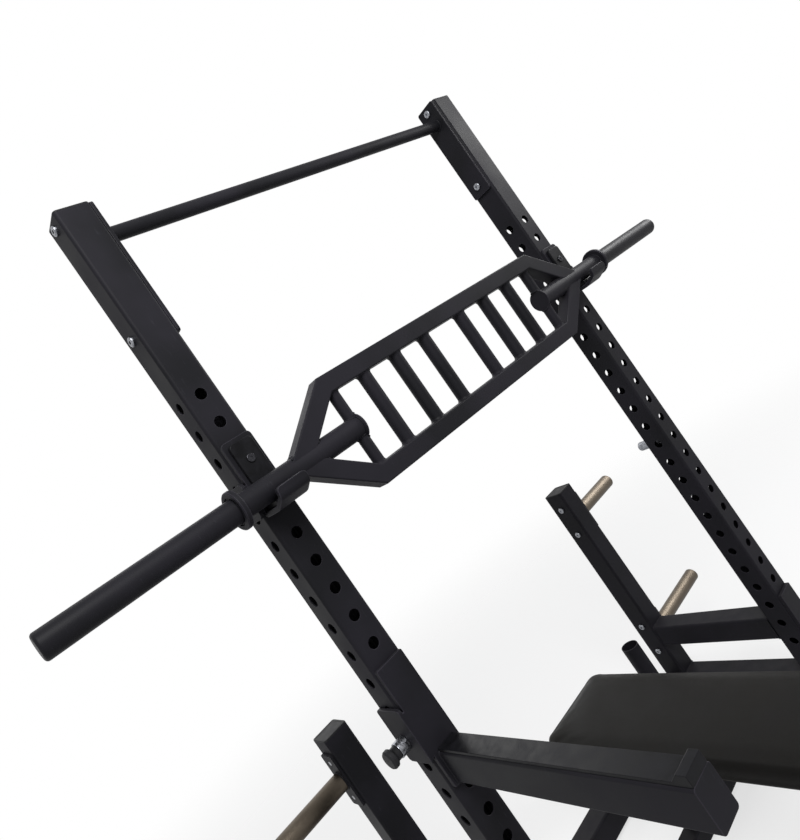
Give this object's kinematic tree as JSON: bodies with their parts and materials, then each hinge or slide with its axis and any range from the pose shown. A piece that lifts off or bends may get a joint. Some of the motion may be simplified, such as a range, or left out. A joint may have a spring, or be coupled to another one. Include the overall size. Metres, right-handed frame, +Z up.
{
  "type": "half rack",
  "caption": "Free-standing half rack with drilled uprights, pull-up bar, racked multi-grip bar, adjustable safety arms, plate storage and a flat bench.",
  "frame": {"origin": "on the floor, in the middle of the outline seen from above", "axes": "+Z up, +X along the bar to the right as seen from the front, +Y towards the back of the rack"},
  "size_m": [2.076, 1.346, 2.11],
  "materials": {
    "powder_coat": "fine texture",
    "black_plastic": "matte",
    "rubber": "matte",
    "bright_steel": "brushed",
    "zinc": "bright zinc",
    "vinyl": "grained",
    "plywood": "black stained"
  },
  "bodies": {
    "rack": {"left_upright": "powder_coat", "right_upright": "powder_coat", "upright_caps": "black_plastic", "left_base_tube": "powder_coat", "right_base_tube": "powder_coat", "base_caps": "black_plastic", "rack_feet": "rubber", "rear_cross_tube": "powder_coat", "left_storage_post": "powder_coat", "right_storage_post": "powder_coat", "post_caps": "black_plastic", "left_side_tube": "powder_coat", "right_side_tube": "powder_coat", "left_upper_peg": "bright_steel", "right_upper_peg": "bright_steel", "left_lower_peg": "bright_steel", "right_lower_peg": "bright_steel", "storage_bolts": "zinc", "pull_up_bar": "powder_coat", "pull_up_plates": "powder_coat", "pull_up_bolts": "zinc", "pull_up_nuts": "zinc", "left_j_hook": "powder_coat", "right_j_hook": "powder_coat", "left_hook_liner": "black_plastic", "right_hook_liner": "black_plastic", "hook_pins": "powder_coat", "hook_screws": "zinc", "bar_holders": "powder_coat", "band_pegs": "zinc"},
    "bar": {"left_bar_pipe": "powder_coat", "right_bar_pipe": "powder_coat", "bar_collars": "powder_coat", "sleeve_caps": "powder_coat", "bar_discs": "powder_coat", "upper_rail": "powder_coat", "lower_rail": "powder_coat", "left_slants": "powder_coat", "right_slants": "powder_coat", "end_struts": "powder_coat", "bar_grips": "powder_coat"},
    "left_arm": {"left_arm_bracket": "powder_coat", "left_arm_tube": "powder_coat", "left_arm_strip": "black_plastic", "left_pin_housing": "zinc"},
    "right_arm": {"right_arm_bracket": "powder_coat", "right_arm_tube": "powder_coat", "right_arm_strip": "black_plastic", "right_pin_housing": "zinc"},
    "left_pin": {"left_pull_pin": "black_plastic"},
    "right_pin": {"right_pull_pin": "black_plastic"},
    "bench": {"bench_pad": "vinyl", "bench_board": "plywood", "bench_brackets": "powder_coat", "bench_spine": "powder_coat", "bench_legs": "powder_coat", "bench_foot_tubes": "powder_coat", "bench_feet": "rubber"}
  },
  "joints": [
    {"name": "bar_lift", "type": "slide", "parent": "rack", "child": "bar", "axis": [0, 0, 1], "range_m": [0, 0.35]},
    {"name": "left_arm_height", "type": "slide", "parent": "rack", "child": "left_arm", "axis": [0, 0, 1], "range_m": [-0.384, 0]},
    {"name": "right_arm_height", "type": "slide", "parent": "rack", "child": "right_arm", "axis": [0, 0, 1], "range_m": [0, 0.768]},
    {"name": "left_pin_pull", "type": "slide", "parent": "left_arm", "child": "left_pin", "axis": [-1, 0, 0], "range_m": [0, 0.014], "stiffness_N_per_m": 900},
    {"name": "right_pin_pull", "type": "slide", "parent": "right_arm", "child": "right_pin", "axis": [1, 0, 0], "range_m": [0, 0.014], "stiffness_N_per_m": 900},
    {"name": "bench_slide", "type": "slide", "parent": "rack", "child": "bench", "axis": [0, -1, 0], "range_m": [0, 0.6]}
  ]
}
